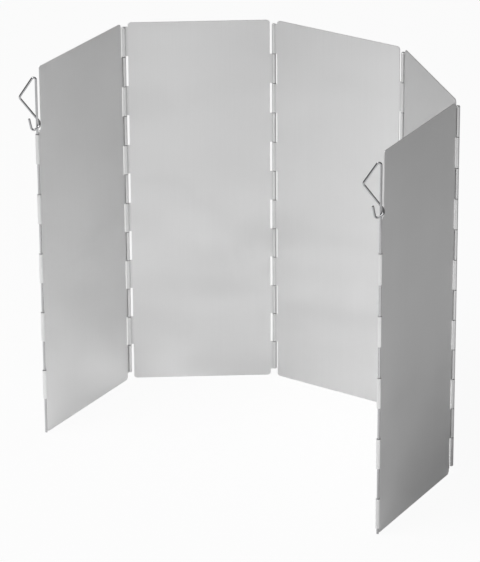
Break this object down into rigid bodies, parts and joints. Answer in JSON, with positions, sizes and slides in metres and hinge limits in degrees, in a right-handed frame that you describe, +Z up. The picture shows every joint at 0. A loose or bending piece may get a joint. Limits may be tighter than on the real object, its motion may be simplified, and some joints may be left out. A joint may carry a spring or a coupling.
{
  "type": "stove windscreen",
  "caption": "Free-standing folding windscreen for a camp stove: sheet plates hinged on wires, with a wire loop and hook at each end.",
  "frame": {"origin": "middle of the third plate's lower edge, on the ground", "axes": "+Z up along the hinge wires; -Y out of the open side, where the stove stands; +X to the right seen from there"},
  "size_m": [0.2525, 0.1585, 0.24],
  "materials": {
    "sheet": "satin mill finish",
    "wire": "bright drawn wire"
  },
  "bodies": {
    "back_plate": {"plate_3": "sheet", "hinge_wire_2": "wire", "hinge_wire_3": "wire"},
    "left_plate": {"plate_2": "sheet", "hinge_wire_1": "wire"},
    "left_end_plate": {"plate_1": "sheet"},
    "right_plate": {"plate_4": "sheet", "hinge_wire_4": "wire"},
    "right_end_plate": {"plate_5": "sheet"},
    "left_hook_wire": {"end_wire_left": "wire"},
    "right_hook_wire": {"end_wire_right": "wire"}
  },
  "joints": [
    {"name": "hinge_1", "type": "hinge", "parent": "left_plate", "child": "left_end_plate", "pos_m": [-0.12096, -0.05299, 0.12], "axis": [0, 0, -1], "range_deg": [-122, 202]},
    {"name": "hinge_2", "type": "hinge", "parent": "back_plate", "child": "left_plate", "pos_m": [-0.046, 0.00035, 0.12], "axis": [0, 0, 1], "range_deg": [-212, 85]},
    {"name": "hinge_3", "type": "hinge", "parent": "back_plate", "child": "right_plate", "pos_m": [0.046, -0.00035, 0.12], "axis": [0, 0, 1], "range_deg": [-137, 60]},
    {"name": "hinge_4", "type": "hinge", "parent": "right_plate", "child": "right_end_plate", "pos_m": [0.11693, -0.05895, 0.12], "axis": [0, 0, 1], "range_deg": [-98.4, 224.68]},
    {"name": "left_hook_swivel", "type": "hinge", "parent": "left_end_plate", "child": "left_hook_wire", "pos_m": [-0.12096, -0.14499, 0.12], "axis": [0, 0, 1], "range_deg": [-78, 194]},
    {"name": "right_hook_swivel", "type": "hinge", "parent": "right_end_plate", "child": "right_hook_wire", "pos_m": [0.12014, -0.15089, 0.12], "axis": [0, 0, 1], "range_deg": [-76, 196]}
  ],
  "couplings": [
    {"joint": "hinge_4", "follows": "hinge_3", "ratio": -1.64}
  ]
}
